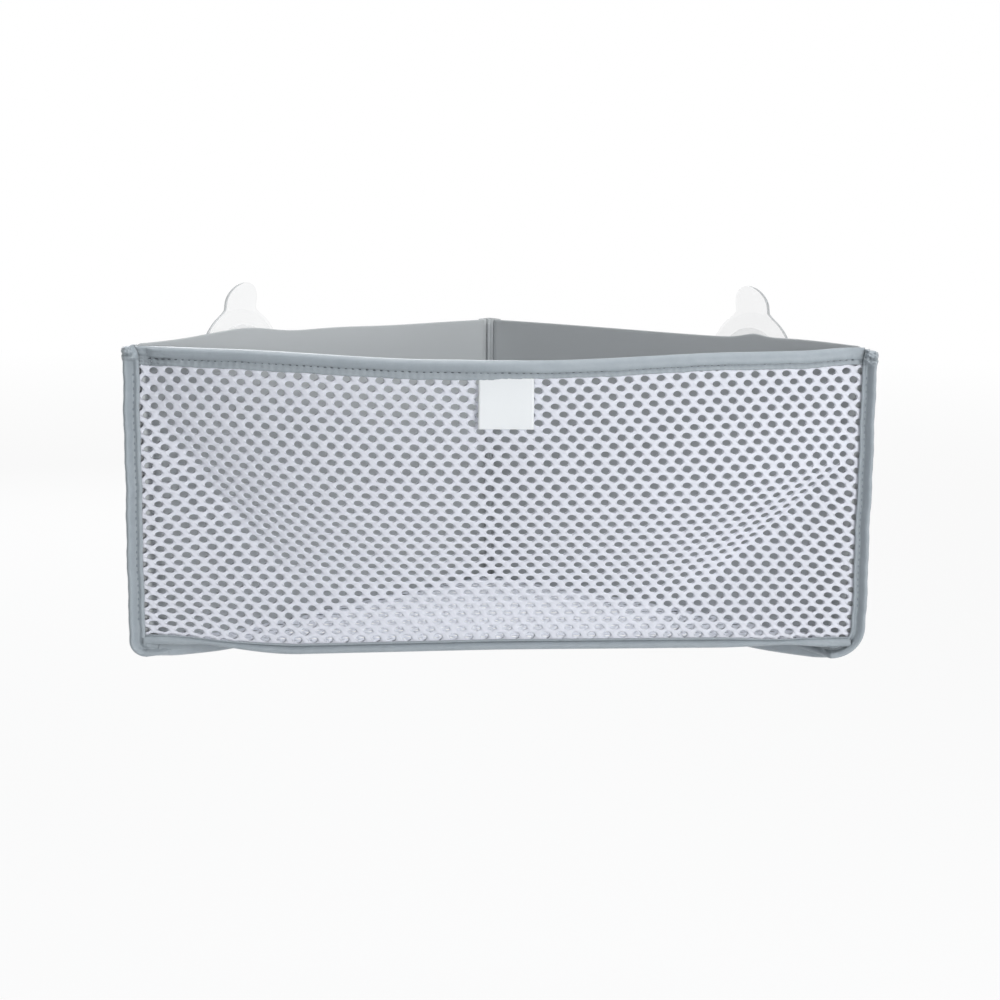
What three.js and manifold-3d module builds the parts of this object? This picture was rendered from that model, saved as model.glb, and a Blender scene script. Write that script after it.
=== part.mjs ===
// Corner bath toy organizer: a soft triangular bin with a net front and a net floor, two padded
// back panels that follow the walls of a corner, and two clear wall pads whose hooks carry it.
// Millimetres. +Z is up, the front faces -Y, and the origin is on the line where the two walls
// meet, level with the bin's underside.
import * as THREE from "three";
import { mergeVertices } from "three/addons/utils/BufferGeometryUtils.js";
import Module from "manifold-3d";

const wasm = await Module();
wasm.setup();

// Sizes of the whole bin
const FRONT_HALF = 187; // half the front, measured at the back panels' outer faces
const PANEL_HEIGHT = 156; // back panels in the back corner, from lower edge to top fold
const FRONT_RISE = 4.5; // the panels' top edge climbs this much from there to the front
const RISE_POWER = 0.6; // power of that climb: a lower one climbs sooner
const FRONT_LIFT = 3.5; // the nets' lower edges hang this much above the panels' lower edges
const RIM_DROP = 2.8; // the net's top edge ends this far below the panels' front ends
const CORNER_RISE = 0.5; // the corner bindings end this far above the panels' front ends
const RIM_SAG = 2.1; // the middle of the rim hangs this much lower than its ends
const BULGE = 28; // how far the middle of the net stands out in front of its corners
const BULGE_FROM_FLOOR = 0.6; // share of the net's height over which the bulge grows
const FOLD_FOOT = 57; // half the distance between the two slanting folds at floor level
const FOLD_SLOPE = 1.12; // how fast the folds run outwards as they climb
const FOLD_EDGE = 3; // power of the bulge: a higher one turns the net more sharply at the folds
const RIM_EDGE = 2; // the same power at the rim, which bends more evenly
const HUMP = 2.5; // how much the hooks lift the panels' top edge
const HUMP_SPREAD = 24; // reach of that lift along the edge

// Thicknesses of the materials
const FABRIC = 0.8;
const FOAM = 2.4;
const NET = 1.0;
const TAPE = 0.9;
const THREAD = 0.5;
const STRAP = 1.2;
const LABEL = 0.8;
const GLUE = 0.8;
const FILM = 1.0;

// Clearances
const FIT = 0.3; // between pieces that lie on each other
const STRAP_PLAY = 0.4; // round a strap that sits in its hook

// Bindings and stitching
const RIM_LEG = 8;
const CORNER_LEG = 7.8;
const FLOOR_LEG = 4.5;
const UNDER_LEG = 8;
const SEAM_LEG = 9; // outside of the back corner
const INNER_SEAM_LEG = 4; // inside of the back corner
const STITCH_FROM_EDGE = 3.2; // from the free edge of a binding's leg
const FOLD_STEPS = 3;

// Openings of the net, drawn coarser than the cloth's own
const NET_PITCH = 26;
const NET_ROW = 13;
const HOLE_WIDTH = 13.5;
const HOLE_HEIGHT = 10.5;
const NET_MARGIN = 4;

// Label
const LABEL_WIDTH = 28;
const LABEL_HEIGHT = 25;
const LABEL_CENTRE = 1;

// Wall pads, hooks and straps
const PAD_ALONG = 195; // from the wall corner to a pad's centre, along its wall
const PAD_BELOW_TOP = 13; // from the panels' top down to a pad's centre
const PAD_RADIUS = 27;
const GLUE_MARGIN = 1;
const TAB_RADIUS = 11;
const TAB_RISE = 29.5; // from a pad's centre to its pull tab's centre
const TAB_LEAN = 5; // how far the pull tab's end stands off the wall
const HOOK_RADIUS = 18;
const HOOK_BASE = 1.5;
const HOOK_WIDTH = 16;
const HOOK_ARM = 2.5;
const HOOK_PRONG = 2.5;
const ARM_BELOW_CENTRE = 6;
const PRONG_RISE = 12;
const STRAP_WIDTH = 14;
const STRAP_SLACK = 3; // at each side of the hook
const STRAP_SLOPE = 8;
const STRAP_END = 11;
const TACK_WIDTH = 1.8;
const TACK_INSET = 2;

// Places that follow from the sizes, counted off the wall
const filmRear = GLUE + FIT;
const hookRear = filmRear + FILM + FIT;
const strapRear = hookRear + HOOK_BASE + STRAP_PLAY;
const prongRear = strapRear + STRAP + STRAP_PLAY;
const panelRear = prongRear + HOOK_PRONG + FIT;
const foamRear = panelRear + FABRIC + FIT;
const panelFront = foamRear + FOAM + FIT + FABRIC;

// Heights
const panelLow = FIT + TAPE;
const panelHigh = panelLow + PANEL_HEIGHT;
const frontHigh = panelHigh + FRONT_RISE;
const netLow = panelLow + FRONT_LIFT;
const netHigh = frontHigh - RIM_DROP;
const bulgeLow = netLow + FLOOR_LEG + NET_MARGIN / 2; // the net lies flat below this
const cornerHigh = frontHigh + CORNER_RISE;

// Places on the front, counted along Y
const panelEnd = -(FRONT_HALF + Math.SQRT2 * panelRear);
const netRear = panelEnd - FIT;
const netFront = netRear - NET;
const cornerX = FRONT_HALF + FIT + NET;
const innerCornerX = cornerX - CORNER_LEG;
const panelFaceX = -panelEnd - TAPE - Math.SQRT2 * panelFront; // the panels, behind the rim
const rimHalf = Math.min(innerCornerX, panelFaceX) - FIT;
const bulgeHalf = rimHalf - 2; // the net lies flat beyond this

// Climb of the panels' top edge at a place along the wall, and what hangs from it
const panelLength = -Math.SQRT2 * panelEnd - panelRear;
function topRise(along) {
  return FRONT_RISE * (along / panelLength) ** RISE_POWER;
}
const padHeight = panelHigh + topRise(PAD_ALONG) - PAD_BELOW_TOP;
const armHigh = padHeight - ARM_BELOW_CENTRE;

// Columns of the front, half a net pitch apart, with the ends of the bulge as the outermost
const halfPitch = NET_PITCH / 2;
const mostColumns = Math.floor((bulgeHalf - NET_MARGIN) / halfPitch);
const columns = [-bulgeHalf];
for (let k = -mostColumns; k <= mostColumns; k += 1) {
  columns.push(k * halfPitch);
}
columns.push(bulgeHalf);

// Materials
function cloth(name, colour, roughness) {
  const material = new THREE.MeshStandardMaterial({ color: colour, roughness, metalness: 0 });
  material.name = name;
  return material;
}
const greyFabric = cloth("grey_fabric", 0x9ba09e, 0.85);
const paleFoam = cloth("pale_foam", 0xd9d9d2, 0.95);
const whiteNet = cloth("white_net", 0xeceef3, 0.8);
const greyTape = cloth("grey_tape", 0x9aa7ae, 0.55);
const greyThread = cloth("grey_thread", 0x78848b, 0.6);
const paleLabel = cloth("pale_label", 0xdfe3e5, 0.6);
const greyWebbing = cloth("grey_webbing", 0x8b9396, 0.75);
const clearFilm = cloth("clear_film", 0xeaf0f2, 0.12);
const clearHook = cloth("clear_hook", 0xe6eef2, 0.08);
const whiteGlue = cloth("white_glue", 0xf1f3f3, 0.5);

const organizer = new THREE.Group();
organizer.name = "bath_toy_organizer";

function add(parent, name, geometry, material) {
  const mesh = new THREE.Mesh(geometry, material);
  mesh.name = name;
  parent.add(mesh);
}

// Moves each point of a geometry
function warp(geometry, move) {
  const places = geometry.getAttribute("position");
  const point = new THREE.Vector3();
  for (let i = 0; i < places.count; i += 1) {
    point.fromBufferAttribute(places, i);
    move(point);
    places.setXYZ(i, point.x, point.y, point.z);
  }
  return geometry;
}

function extrude(shape, depth, steps) {
  return new THREE.ExtrudeGeometry(shape, { depth, steps, bevelEnabled: false });
}

// A shape drawn in X and Z, standing in front of the plane y = rear
function upright(shape, rear, depth) {
  return extrude(shape, depth, 1).rotateX(Math.PI / 2).translate(0, rear, 0);
}

// A shape drawn in X and Y, raised from z = low
function raised(shape, low, height) {
  return extrude(shape, height, 1).translate(0, 0, low);
}

// A shape drawn in Y and Z, drawn out along X
function along(shape, start, length, steps) {
  const geometry = extrude(shape, length, steps).rotateX(Math.PI / 2).rotateZ(Math.PI / 2);
  return geometry.translate(start, 0, 0);
}

function point2(x, y) {
  return new THREE.Vector2(x, y);
}

function leftNormal(from, to) {
  const way = to.clone().sub(from).normalize();
  return point2(-way.y, way.x);
}

// A line at a distance to the left of a path, rounded at its turns in a number of steps, or
// with sharp turns if there are none
function offsetLine(path, distance, steps) {
  const line = [];
  path.forEach((place, i) => {
    const into = i > 0 ? leftNormal(path[i - 1], place) : leftNormal(place, path[i + 1]);
    const out = i < path.length - 1 ? leftNormal(place, path[i + 1]) : into;
    const turn = Math.atan2(into.cross(out), into.dot(out));
    if (steps > 0 && Math.abs(turn) > 1e-6) {
      for (let k = 0; k <= steps; k += 1) {
        const way = into.clone().rotateAround(point2(0, 0), (turn * k) / steps);
        line.push(place.clone().addScaledVector(way, distance));
      }
    } else {
      const way = into.clone().add(out).divideScalar(1 + into.dot(out));
      line.push(place.clone().addScaledVector(way, distance));
    }
  });
  return line;
}

// The section of a tape that follows a path at a gap to its left
function tapeShape(path, gap, thickness, steps) {
  const near = offsetLine(path, gap, steps);
  const far = offsetLine(path, gap + thickness, steps);
  return new THREE.Shape([...near, ...far.reverse()]);
}

function boxShape(low, high) {
  return new THREE.Shape([
    point2(low.x, low.y),
    point2(high.x, low.y),
    point2(high.x, high.y),
    point2(low.x, high.y),
  ]);
}

function solidOf(geometry) {
  geometry.deleteAttribute("normal");
  geometry.deleteAttribute("uv");
  const merged = mergeVertices(geometry, 1e-4);
  const vertProperties = merged.getAttribute("position").array;
  const triVerts = new Uint32Array(merged.index.array);
  return new wasm.Manifold(new wasm.Mesh({ numProp: 3, vertProperties, triVerts }));
}

function join(first, second) {
  const mesh = solidOf(first).add(solidOf(second)).getMesh();
  const geometry = new THREE.BufferGeometry();
  geometry.setAttribute("position", new THREE.BufferAttribute(mesh.vertProperties, 3));
  geometry.setIndex(new THREE.BufferAttribute(mesh.triVerts, 1));
  return geometry;
}

// The hang of the front: flat at the corners and along the floor, standing out in the middle
function bulge(x, z) {
  const climb = (z - bulgeLow) / (netHigh - bulgeLow);
  const foldX = Math.min(FOLD_FOOT + FOLD_SLOPE * z, bulgeHalf);
  const fromMiddle = Math.min(1, Math.abs(x) / foldX);
  const grown = THREE.MathUtils.smoothstep(climb, 0, BULGE_FROM_FLOOR);
  const power = FOLD_EDGE + (RIM_EDGE - FOLD_EDGE) * THREE.MathUtils.clamp(climb, 0, 1);
  return BULGE * grown * (1 - fromMiddle ** power);
}

function hangFront(p) {
  const climb = (p.z - netLow) / (netHigh - netLow);
  p.y -= bulge(p.x, p.z);
  p.z -= RIM_SAG * climb * (1 - (p.x / FRONT_HALF) ** 2);
}

// Net
function netHole(x, y) {
  const a = HOLE_WIDTH / 2;
  const b = HOLE_HEIGHT / 2;
  return new THREE.Path([
    point2(x + a, y),
    point2(x + a / 2, y + b),
    point2(x - a / 2, y + b),
    point2(x - a, y),
    point2(x - a / 2, y - b),
    point2(x + a / 2, y - b),
  ]);
}

// Punches staggered rows of openings, centred on x = 0, wherever the net has room for them
function punchNet(shape, low, high, halfWidthAt) {
  const rows = Math.floor((high - low - HOLE_HEIGHT) / NET_ROW) + 1;
  const first = (low + high - (rows - 1) * NET_ROW) / 2;
  for (let row = 0; row < rows; row += 1) {
    const y = first + row * NET_ROW;
    const room = Math.min(halfWidthAt(y - HOLE_HEIGHT / 2), halfWidthAt(y + HOLE_HEIGHT / 2));
    const reach = room - HOLE_WIDTH / 2;
    const shift = (row % 2) / 2;
    const count = Math.ceil(FRONT_HALF / NET_PITCH);
    for (let column = -count; column <= count; column += 1) {
      const x = (column + shift) * NET_PITCH;
      if (Math.abs(x) <= reach) {
        shape.holes.push(netHole(x, y));
      }
    }
  }
}

// Joins flat polygons that share their corners into a plate, with walls round its free edges.
// They are drawn in X and Z, and the plate stands in front of the plane y = rear.
function plateOf(polygons, rear, depth) {
  const places = [];
  const free = new Map();
  const keyOf = (p) => p.x.toFixed(3) + " " + p.y.toFixed(3);
  const put = (p, y) => places.push(p.x, y, p.y);
  for (const { outline, holes } of polygons) {
    const corners = [outline, ...holes].flat();
    for (const face of THREE.ShapeUtils.triangulateShape(outline, holes)) {
      const triangle = face.map((i) => corners[i]);
      if (THREE.ShapeUtils.isClockWise(triangle)) {
        triangle.reverse();
      }
      triangle.forEach((p) => put(p, rear - depth));
      triangle.toReversed().forEach((p) => put(p, rear));
      triangle.forEach((from, i) => {
        const to = triangle[(i + 1) % 3];
        const back = keyOf(to) + " " + keyOf(from);
        if (!free.delete(back)) {
          free.set(keyOf(from) + " " + keyOf(to), [from, to]);
        }
      });
    }
  }
  for (const [from, to] of free.values()) {
    [[to, 1], [from, 1], [from, 0], [to, 1], [from, 0], [to, 0]].forEach(([p, front]) => {
      put(p, rear - front * depth);
    });
  }
  const geometry = new THREE.BufferGeometry();
  geometry.setAttribute("position", new THREE.Float32BufferAttribute(places, 3));
  return geometry;
}

// The front net is laid out in bands, one for each row of openings, and cut into cells of half
// a pitch or a whole one, so that its faces stay small enough to follow the bulge
function addFrontNet() {
  const low = bulgeLow;
  const high = netHigh - RIM_LEG - NET_MARGIN / 2;
  const rows = Math.floor((high - low) / NET_ROW);
  const first = (low + high - rows * NET_ROW) / 2;
  const most = mostColumns;
  const half = halfPitch;
  const polygons = [];
  const addCell = (left, right, from, to, inner, holes) => {
    const lower = [left, ...inner, right].map((x) => point2(x, from));
    const upper = [right, ...inner, left].map((x) => point2(x, to));
    polygons.push({ outline: [...lower, ...upper], holes });
  };
  const addPlain = (from, to, start, end) => {
    for (let k = start; k < end; k += 1) {
      addCell(k * half, (k + 1) * half, from, to, [], []);
    }
  };
  const addEnds = (from, to) => {
    addCell(-FRONT_HALF, -bulgeHalf, from, to, [], []);
    addCell(-bulgeHalf, -most * half, from, to, [], []);
    addCell(most * half, bulgeHalf, from, to, [], []);
    addCell(bulgeHalf, FRONT_HALF, from, to, [], []);
  };
  const bands = [netLow];
  for (let row = 0; row <= rows; row += 1) {
    bands.push(first + row * NET_ROW);
  }
  bands.push(netHigh);
  for (let band = 0; band + 1 < bands.length; band += 1) {
    const [from, to] = [bands[band], bands[band + 1]];
    addEnds(from, to);
    if (band === 0 || band + 2 === bands.length) {
      addPlain(from, to, -most, most);
      continue;
    }
    const spare = (most + band) % 2;
    addPlain(from, to, -most, -most + spare);
    for (let k = -most + spare + 1; k < most; k += 2) {
      const hole = netHole(k * half, (from + to) / 2).getPoints();
      addCell((k - 1) * half, (k + 1) * half, from, to, [k * half], [hole]);
    }
    addPlain(from, to, most - spare, most);
  }
  add(organizer, "front_net", warp(plateOf(polygons, netRear, NET), hangFront), whiteNet);
}

function addFloorNet() {
  const front = netRear + FIT;
  const backTip = -Math.SQRT2 * (panelFront + FIT);
  const side = backTip - front;
  const shape = new THREE.Shape([point2(-side, front), point2(side, front), point2(0, backTip)]);
  const room = (UNDER_LEG + NET_MARGIN / 2) * Math.SQRT2;
  const low = front + UNDER_LEG + NET_MARGIN / 2;
  punchNet(shape, low, backTip - room, (y) => backTip - y - room);
  add(organizer, "floor_net", raised(shape, netLow, NET), whiteNet);
}

// Draws a section in Y and Z out along the rim, by the front's columns
function alongRim(shape) {
  const stations = [-rimHalf, ...columns, rimHalf];
  const last = stations.length - 1;
  const geometry = warp(along(shape, 0, last, last), (p) => {
    p.x = stations[Math.round(p.x)];
  });
  return warp(geometry, hangFront);
}

// Bindings of the front
function addRim() {
  const path = [
    point2(netFront, netHigh - RIM_LEG),
    point2(netFront, netHigh),
    point2(netRear, netHigh),
    point2(netRear, netHigh - RIM_LEG),
  ];
  add(organizer, "rim_binding", alongRim(tapeShape(path, FIT, TAPE, 1)), greyTape);
  const stitchRear = netFront - FIT - TAPE - FIT;
  const stitchLow = netHigh - RIM_LEG + STITCH_FROM_EDGE;
  const section = boxShape(
    point2(stitchRear - THREAD, stitchLow),
    point2(stitchRear, stitchLow + THREAD),
  );
  add(organizer, "rim_thread", alongRim(section), greyThread);
}

function addFrontFloorBinding() {
  const path = [
    point2(netFront + UNDER_LEG, netLow),
    point2(netFront, netLow),
    point2(netFront, netLow + FLOOR_LEG),
  ];
  const shape = tapeShape(path, FIT, TAPE, FOLD_STEPS);
  const binding = warp(along(shape, -rimHalf, 2 * rimHalf, 1), (p) => {
    const room = -p.y - Math.SQRT2 * panelFront - FIT; // up to the panels' inner faces
    p.x = Math.sign(p.x) * Math.min(Math.abs(p.x), room);
  });
  add(organizer, "front_floor_binding", binding, greyTape);
  const stitchRear = netFront - FIT - TAPE - FIT;
  const stitchLow = netLow + FLOOR_LEG - STITCH_FROM_EDGE / 2;
  const section = boxShape(
    point2(stitchRear - THREAD, stitchLow),
    point2(stitchRear, stitchLow + THREAD),
  );
  add(organizer, "front_floor_thread", along(section, -rimHalf, 2 * rimHalf, 1), greyThread);
}

function addLabel() {
  const high = netHigh - RIM_LEG - FIT;
  const left = LABEL_CENTRE - LABEL_WIDTH / 2;
  const shape = boxShape(point2(left, high - LABEL_HEIGHT), point2(left + LABEL_WIDTH, high));
  const label = upright(shape, netFront - FIT, LABEL);
  add(organizer, "label_tag", warp(label, hangFront), paleLabel);
}

// The tape that closes a front corner, and its thread
function addCorner(sideName, side) {
  const corner = point2(side * cornerX, netFront);
  const onNet = point2(side * innerCornerX, netFront);
  const reach = CORNER_LEG / Math.SQRT2;
  const onPanel = point2(corner.x - side * reach, corner.y + reach);
  const path = side > 0 ? [onPanel, corner, onNet] : [onNet, corner, onPanel];
  const shape = tapeShape(path, FIT, TAPE, FOLD_STEPS + 1);
  add(organizer, sideName + "_corner_binding", raised(shape, 0, cornerHigh), greyTape);
  const rear = netFront - FIT - TAPE - FIT;
  const middle = side * (innerCornerX + STITCH_FROM_EDGE);
  const section = boxShape(
    point2(middle - THREAD / 2, rear - THREAD),
    point2(middle + THREAD / 2, rear),
  );
  const thread = raised(section, 2 * THREAD, cornerHigh - 4 * THREAD);
  add(organizer, sideName + "_corner_thread", thread, greyThread);
}

// Draws a section in Y and Z out along one back panel. It ends on planes that the functions
// startAt and endAt give as places along the wall, for a distance off the wall.
function alongPanel(shape, side, steps, startAt, endAt) {
  return warp(along(shape, Math.min(side, 0), 1, steps), (p) => {
    const off = -p.y;
    const share = side * p.x;
    p.x = side * (startAt(off) + share * (endAt(off) - startAt(off)));
  });
}

// Places along the wall of the plane between the two panels and of a plane y = level
const mitre = (off) => off + FIT;
const endsAt = (level) => (off) => -Math.SQRT2 * level - off;

function addPanel(group, sideName, side) {
  const inside = panelFront - FABRIC;
  const outside = panelRear + FABRIC;
  const fold = panelHigh - FABRIC;
  const shape = new THREE.Shape([
    point2(-panelRear, panelLow),
    point2(-panelRear, panelHigh - FABRIC / 2),
    point2(-panelRear - FABRIC, panelHigh),
    point2(-panelFront + FABRIC, panelHigh),
    point2(-panelFront, panelHigh - FABRIC / 2),
    point2(-panelFront, panelLow),
    point2(-inside, panelLow),
    point2(-inside, fold),
    point2(-outside, fold),
    point2(-outside, panelLow),
  ]);
  const skin = alongPanel(shape, side, 22, mitre, endsAt(panelEnd));
  warp(skin, (p) => {
    const climb = (p.z - panelLow) / PANEL_HEIGHT;
    const away = (side * p.x - PAD_ALONG) / HUMP_SPREAD;
    p.z += climb * (topRise(side * p.x) + HUMP * Math.exp(-away * away));
  });
  add(group, sideName + "_panel_fabric", skin, greyFabric);
  const core = boxShape(
    point2(-foamRear - FOAM, panelLow + FLOOR_LEG),
    point2(-foamRear, fold - FIT),
  );
  const coreStart = (off) => mitre(off) + FOAM;
  const coreEnd = endsAt(panelEnd + CORNER_LEG / Math.SQRT2);
  add(group, sideName + "_panel_foam", alongPanel(core, side, 1, coreStart, coreEnd), paleFoam);
}

function addSideFloorBinding(group, sideName, side) {
  const path = [
    point2(-panelRear, panelLow + FLOOR_LEG),
    point2(-panelRear, panelLow),
    point2(-panelFront, panelLow),
    point2(-panelFront, netLow),
    point2(-panelFront - UNDER_LEG, netLow),
  ];
  const shape = tapeShape(path, FIT, TAPE, 0);
  const end = netFront + Math.max(UNDER_LEG, CORNER_LEG / Math.SQRT2) + 2 * FIT;
  const binding = alongPanel(shape, side, 1, mitre, endsAt(end));
  add(group, sideName + "_floor_binding", binding, greyTape);
  const front = -panelRear + FIT + TAPE + FIT;
  const stitchLow = panelLow + FLOOR_LEG - STITCH_FROM_EDGE / 2;
  const section = boxShape(
    point2(front, stitchLow),
    point2(front + THREAD, stitchLow + THREAD),
  );
  const thread = alongPanel(section, side, 1, mitre, endsAt(end));
  add(group, sideName + "_floor_thread", thread, greyThread);
}

// The tapes over the seam of the two panels, outside and inside
function addBackSeam() {
  const outer = -Math.SQRT2 * panelRear;
  const reach = SEAM_LEG / Math.SQRT2;
  const path = [point2(-reach, outer - reach), point2(0, outer), point2(reach, outer - reach)];
  const low = panelLow + FLOOR_LEG + 2 * FIT;
  const cover = raised(tapeShape(path, FIT, TAPE, FOLD_STEPS), low, panelHigh - low);
  add(organizer, "back_seam_tape", cover, greyTape);
  const inner = -Math.SQRT2 * panelFront;
  const step = INNER_SEAM_LEG / Math.SQRT2;
  const innerPath = [point2(step, inner - step), point2(0, inner), point2(-step, inner - step)];
  const innerLow = netLow + NET + FIT;
  const strip = raised(tapeShape(innerPath, FIT, TAPE, 0), innerLow, panelHigh - innerLow);
  add(organizer, "inner_seam_tape", strip, greyTape);
}

// The loop on the rear of a panel that goes over the hook, with a bar tack at each end
function addStrap(group, sideName, side) {
  const centre = side * PAD_ALONG;
  const flat = HOOK_WIDTH / 2 + STRAP_SLACK;
  const low = armHigh + FIT;
  const near = -(panelRear - FIT - STRAP / 2);
  const far = -(strapRear + STRAP / 2);
  const path = [
    point2(centre - flat - STRAP_SLOPE - STRAP_END, near),
    point2(centre - flat - STRAP_SLOPE, near),
    point2(centre - flat, far),
    point2(centre + flat, far),
    point2(centre + flat + STRAP_SLOPE, near),
    point2(centre + flat + STRAP_SLOPE + STRAP_END, near),
  ];
  const strap = raised(tapeShape(path, -STRAP / 2, STRAP, 0), low, STRAP_WIDTH);
  add(group, sideName + "_strap", strap, greyWebbing);
  for (const [end, way] of [["rear", -side], ["front", side]]) {
    const tack = new THREE.BoxGeometry(TACK_WIDTH, THREAD, STRAP_WIDTH - 2 * TACK_INSET);
    const offCentre = flat + STRAP_SLOPE + STRAP_END / 2;
    const rear = near + STRAP / 2 + FIT + THREAD / 2;
    tack.translate(centre + way * offCentre, rear, low + STRAP_WIDTH / 2);
    add(group, sideName + "_strap_tack_" + end, tack, greyThread);
  }
}

// A clear pad with a pull tab, the glue behind it and the hook in front of it
function addWallPad(group, sideName, side) {
  const centre = side * PAD_ALONG;
  const apart = TAB_RISE;
  const neckRise = (apart ** 2 + PAD_RADIUS ** 2 - TAB_RADIUS ** 2) / (2 * apart);
  const neckHalf = Math.sqrt(PAD_RADIUS ** 2 - neckRise ** 2);
  const neckOnPad = Math.atan2(neckRise, neckHalf);
  const neckOnTab = Math.atan2(neckRise - apart, neckHalf);
  const outline = new THREE.Shape();
  const top = padHeight + apart;
  outline.absarc(centre, padHeight, PAD_RADIUS, Math.PI - neckOnPad, 2 * Math.PI + neckOnPad, false);
  outline.absarc(centre, top, TAB_RADIUS, neckOnTab, Math.PI - neckOnTab, false);
  const pad = new THREE.Shape(outline.getPoints(16));
  const film = warp(upright(pad, -filmRear, FILM), (p) => {
    const climb = (p.z - padHeight - neckRise) / (apart + TAB_RADIUS - neckRise);
    p.y -= TAB_LEAN * Math.max(0, climb) ** 2;
  });
  add(group, sideName + "_wall_film", film, clearFilm);
  const round = new THREE.Shape().absarc(0, 0, PAD_RADIUS - GLUE_MARGIN, 0, 2 * Math.PI, false);
  const glue = upright(new THREE.Shape(round.getPoints(18)), 0, GLUE);
  add(group, sideName + "_wall_glue", glue.translate(centre, 0, padHeight), whiteGlue);
  addHook(group, sideName, centre);
}

function addHook(group, sideName, centre) {
  const disc = new THREE.Shape().absarc(centre, padHeight, HOOK_RADIUS, 0, 2 * Math.PI, false);
  const base = upright(new THREE.Shape(disc.getPoints(14)), -hookRear, HOOK_BASE);
  const root = hookRear + HOOK_BASE / 2;
  const end = prongRear + HOOK_PRONG;
  const section = new THREE.Shape([
    point2(-root, armHigh - HOOK_ARM),
    point2(-end + HOOK_ARM / 2, armHigh - HOOK_ARM),
    point2(-end, armHigh - HOOK_ARM / 2),
    point2(-end, armHigh + PRONG_RISE),
    point2(-prongRear, armHigh + PRONG_RISE),
    point2(-prongRear, armHigh),
    point2(-root, armHigh),
  ]);
  const prong = along(section, centre - HOOK_WIDTH / 2, HOOK_WIDTH, 1);
  add(group, sideName + "_hook", join(base, prong), clearHook);
}

function addSide(sideName, side) {
  const group = new THREE.Group();
  group.name = sideName + "_side";
  group.rotation.z = (-side * Math.PI) / 4;
  organizer.add(group);
  addPanel(group, sideName, side);
  addSideFloorBinding(group, sideName, side);
  addStrap(group, sideName, side);
  addWallPad(group, sideName, side);
  addCorner(sideName, side);
}

addFrontNet();
addFloorNet();
addRim();
addFrontFloorBinding();
addLabel();
addBackSeam();
addSide("left", -1);
addSide("right", 1);

export default organizer;
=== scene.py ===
"""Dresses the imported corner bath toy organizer: nets, sewn bindings, padded panels and clear wall pads."""
import math

import bmesh
import bpy
import numpy as np
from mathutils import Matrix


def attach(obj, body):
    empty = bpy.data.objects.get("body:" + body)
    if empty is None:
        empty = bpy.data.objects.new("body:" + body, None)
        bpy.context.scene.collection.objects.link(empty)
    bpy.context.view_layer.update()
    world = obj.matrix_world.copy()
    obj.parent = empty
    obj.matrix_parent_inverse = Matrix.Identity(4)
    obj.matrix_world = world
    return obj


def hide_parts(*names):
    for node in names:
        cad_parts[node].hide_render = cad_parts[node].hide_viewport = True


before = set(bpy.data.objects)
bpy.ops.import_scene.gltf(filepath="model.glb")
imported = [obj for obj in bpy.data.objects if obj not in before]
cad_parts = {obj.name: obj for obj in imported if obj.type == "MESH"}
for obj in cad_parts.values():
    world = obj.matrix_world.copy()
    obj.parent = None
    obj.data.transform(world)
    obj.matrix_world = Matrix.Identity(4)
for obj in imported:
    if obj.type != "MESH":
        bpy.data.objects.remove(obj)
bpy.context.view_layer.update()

# Sizes of the bin in millimetres, the same as the part's own
FRONT_HALF = 187.0
PANEL_HEIGHT = 156.0
FRONT_RISE = 4.5
RISE_POWER = 0.6
FRONT_LIFT = 3.5
RIM_DROP = 2.8
CORNER_RISE = 0.5
RIM_SAG = 2.1
BULGE = 28.0
BULGE_FROM_FLOOR = 0.6
FOLD_FOOT = 57.0
FOLD_SLOPE = 1.12
RIM_EDGE = 2.0
FIT = 0.3
TAPE = 0.9
NET = 1.0
FLOOR_LEG = 4.5
UNDER_LEG = 8.0
RIM_LEG = 8.0
CORNER_LEG = 7.8
PANEL_REAR = 8.7
PANEL_FRONT = 13.3
PAD_ALONG = 195.0
PAD_BELOW_TOP = 13.0
ARM_BELOW = 6.0

# How the soft pieces hang in the photograph, where the two sides differ
FOLD_EDGE = {-1: 3.1, 1: 4.0}  # power of the bulge, so how hard the net turns at its folds
FOLD_SHIFT = {-1: 20.0, 1: 5.0}
FOLD_STEEPER = {-1: 0.36, 1: 0.0}
ROUND_FROM = 0.45  # share of the height where the folds start to round off
ROUND_OVER = 0.5
ROW_DROP = {-1: 8.0, 1: 5.0}  # the net's rows are sewn in this much lower at the corners, at mid height
CORNER_STRETCH = 9.0  # the net's columns are pulled this far to the lower left corner
STRETCH_REACH = 0.12  # and most of it is reached in this share of the width
RIM_RISE = {-1: 2.9, 1: 3.4}  # ends of the rim over its middle
RIM_RISE_FROM = {-1: 34.0, 1: 12.0}
RIM_RISE_OVER = 105.0
RIM_END_RISE = 1.0
RIM_END_FROM = 150.0
RIM_END_OVER = 25.0
FRONT_MIDDLE = 0.5  # the front's lower edge over its level in the part
FRONT_TILT = {-1: 0.024, 1: 0.009}
CORNER_LIFT = {-1: 9.0, 1: 2.0}
CORNER_LIFT_FROM = {-1: 102.0, 1: 112.0}
BACK_DROP = 2.5  # the floor net sinks this far towards the back corner
BACK_DROP_FROM = 25.0
BACK_DROP_OVER = 90.0
FRONT_EDGE_FROM = 4.0  # and follows the front's lower edge up to here, fading over the next width
FRONT_EDGE_OVER = 40.0
FLOOR_LEVEL_HALF = 110.0  # further out, the floor doesn't climb with that edge
FOOT_DIP = 6.0  # the panels' lower edges sag this much behind the corners
FOOT_DIP_AT = {-1: 207.0, 1: 205.0}
FOOT_DIP_WIDTH = {-1: 48.0, 1: 65.0}
CORNER_ROUND = {-1: 8.5, 1: 17.0}  # a corner tape turns under the bin at this radius
CORNER_FOOT = {-1: 0.3, 1: -0.5}  # lowest place of that turn
PANEL_INSET = 2.5  # a panel's own corner turns this much tighter
CORNER_INNER = {-1: 181.9, 1: 183.3}  # a corner tape's edge on the net
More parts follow.
